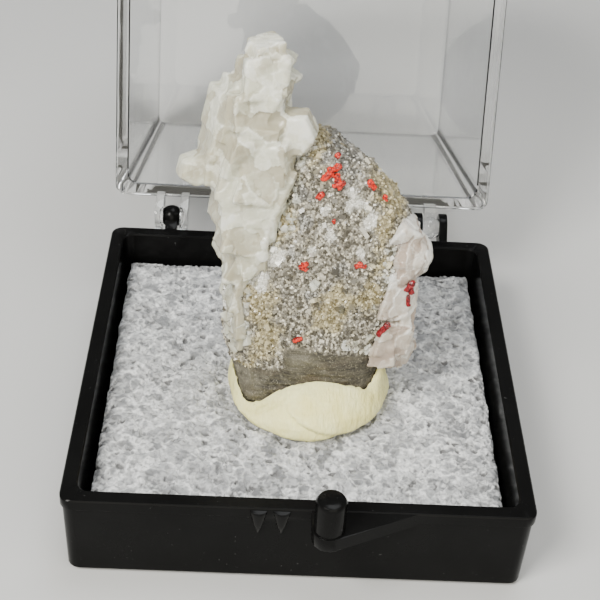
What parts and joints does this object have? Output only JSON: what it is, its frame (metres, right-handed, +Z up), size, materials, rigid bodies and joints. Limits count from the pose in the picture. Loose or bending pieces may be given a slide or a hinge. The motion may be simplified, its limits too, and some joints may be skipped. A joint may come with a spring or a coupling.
{
  "type": "calcite with realgar mineral specimen in hinged display box",
  "caption": "Upright rock with white stepped calcite and small red realgar crystals, held in putty on foam in a square hinged box with a black tray and a clear lid.",
  "frame": {"origin": "centre of the tray's flat underside, on the surface it stands on", "axes": "+Z up, +Y to the hinged back of the box, +X to the right seen from the catch in front"},
  "size_m": [0.038, 0.0873, 0.0499],
  "materials": {
    "black_tray": "gloss",
    "clear_lid": "gloss",
    "foam": "matte",
    "putty": "matte",
    "rock": "matte",
    "calcite": "satin",
    "calcite_edge": "satin",
    "realgar": "gloss"
  },
  "bodies": {
    "base": {"box_base": "black_tray", "foam_liner": "foam", "putty": "putty", "matrix_rock": "rock", "calcite_mass": "calcite", "calcite_edge": "calcite_edge", "realgar_01": "realgar", "realgar_02": "realgar", "realgar_03": "realgar", "realgar_04": "realgar", "realgar_05": "realgar", "realgar_06": "realgar", "realgar_07": "realgar", "realgar_08": "realgar", "realgar_09": "realgar", "realgar_10": "realgar", "realgar_11": "realgar", "realgar_12": "realgar", "realgar_13": "realgar"},
    "lid": {"box_lid": "clear_lid"}
  },
  "joints": [
    {"name": "lid_hinge", "type": "hinge", "parent": "base", "child": "lid", "pos_m": [0, 0.021, 0.00857], "axis": [-1, 0, 0], "range_deg": [-109.6, 96]}
  ]
}
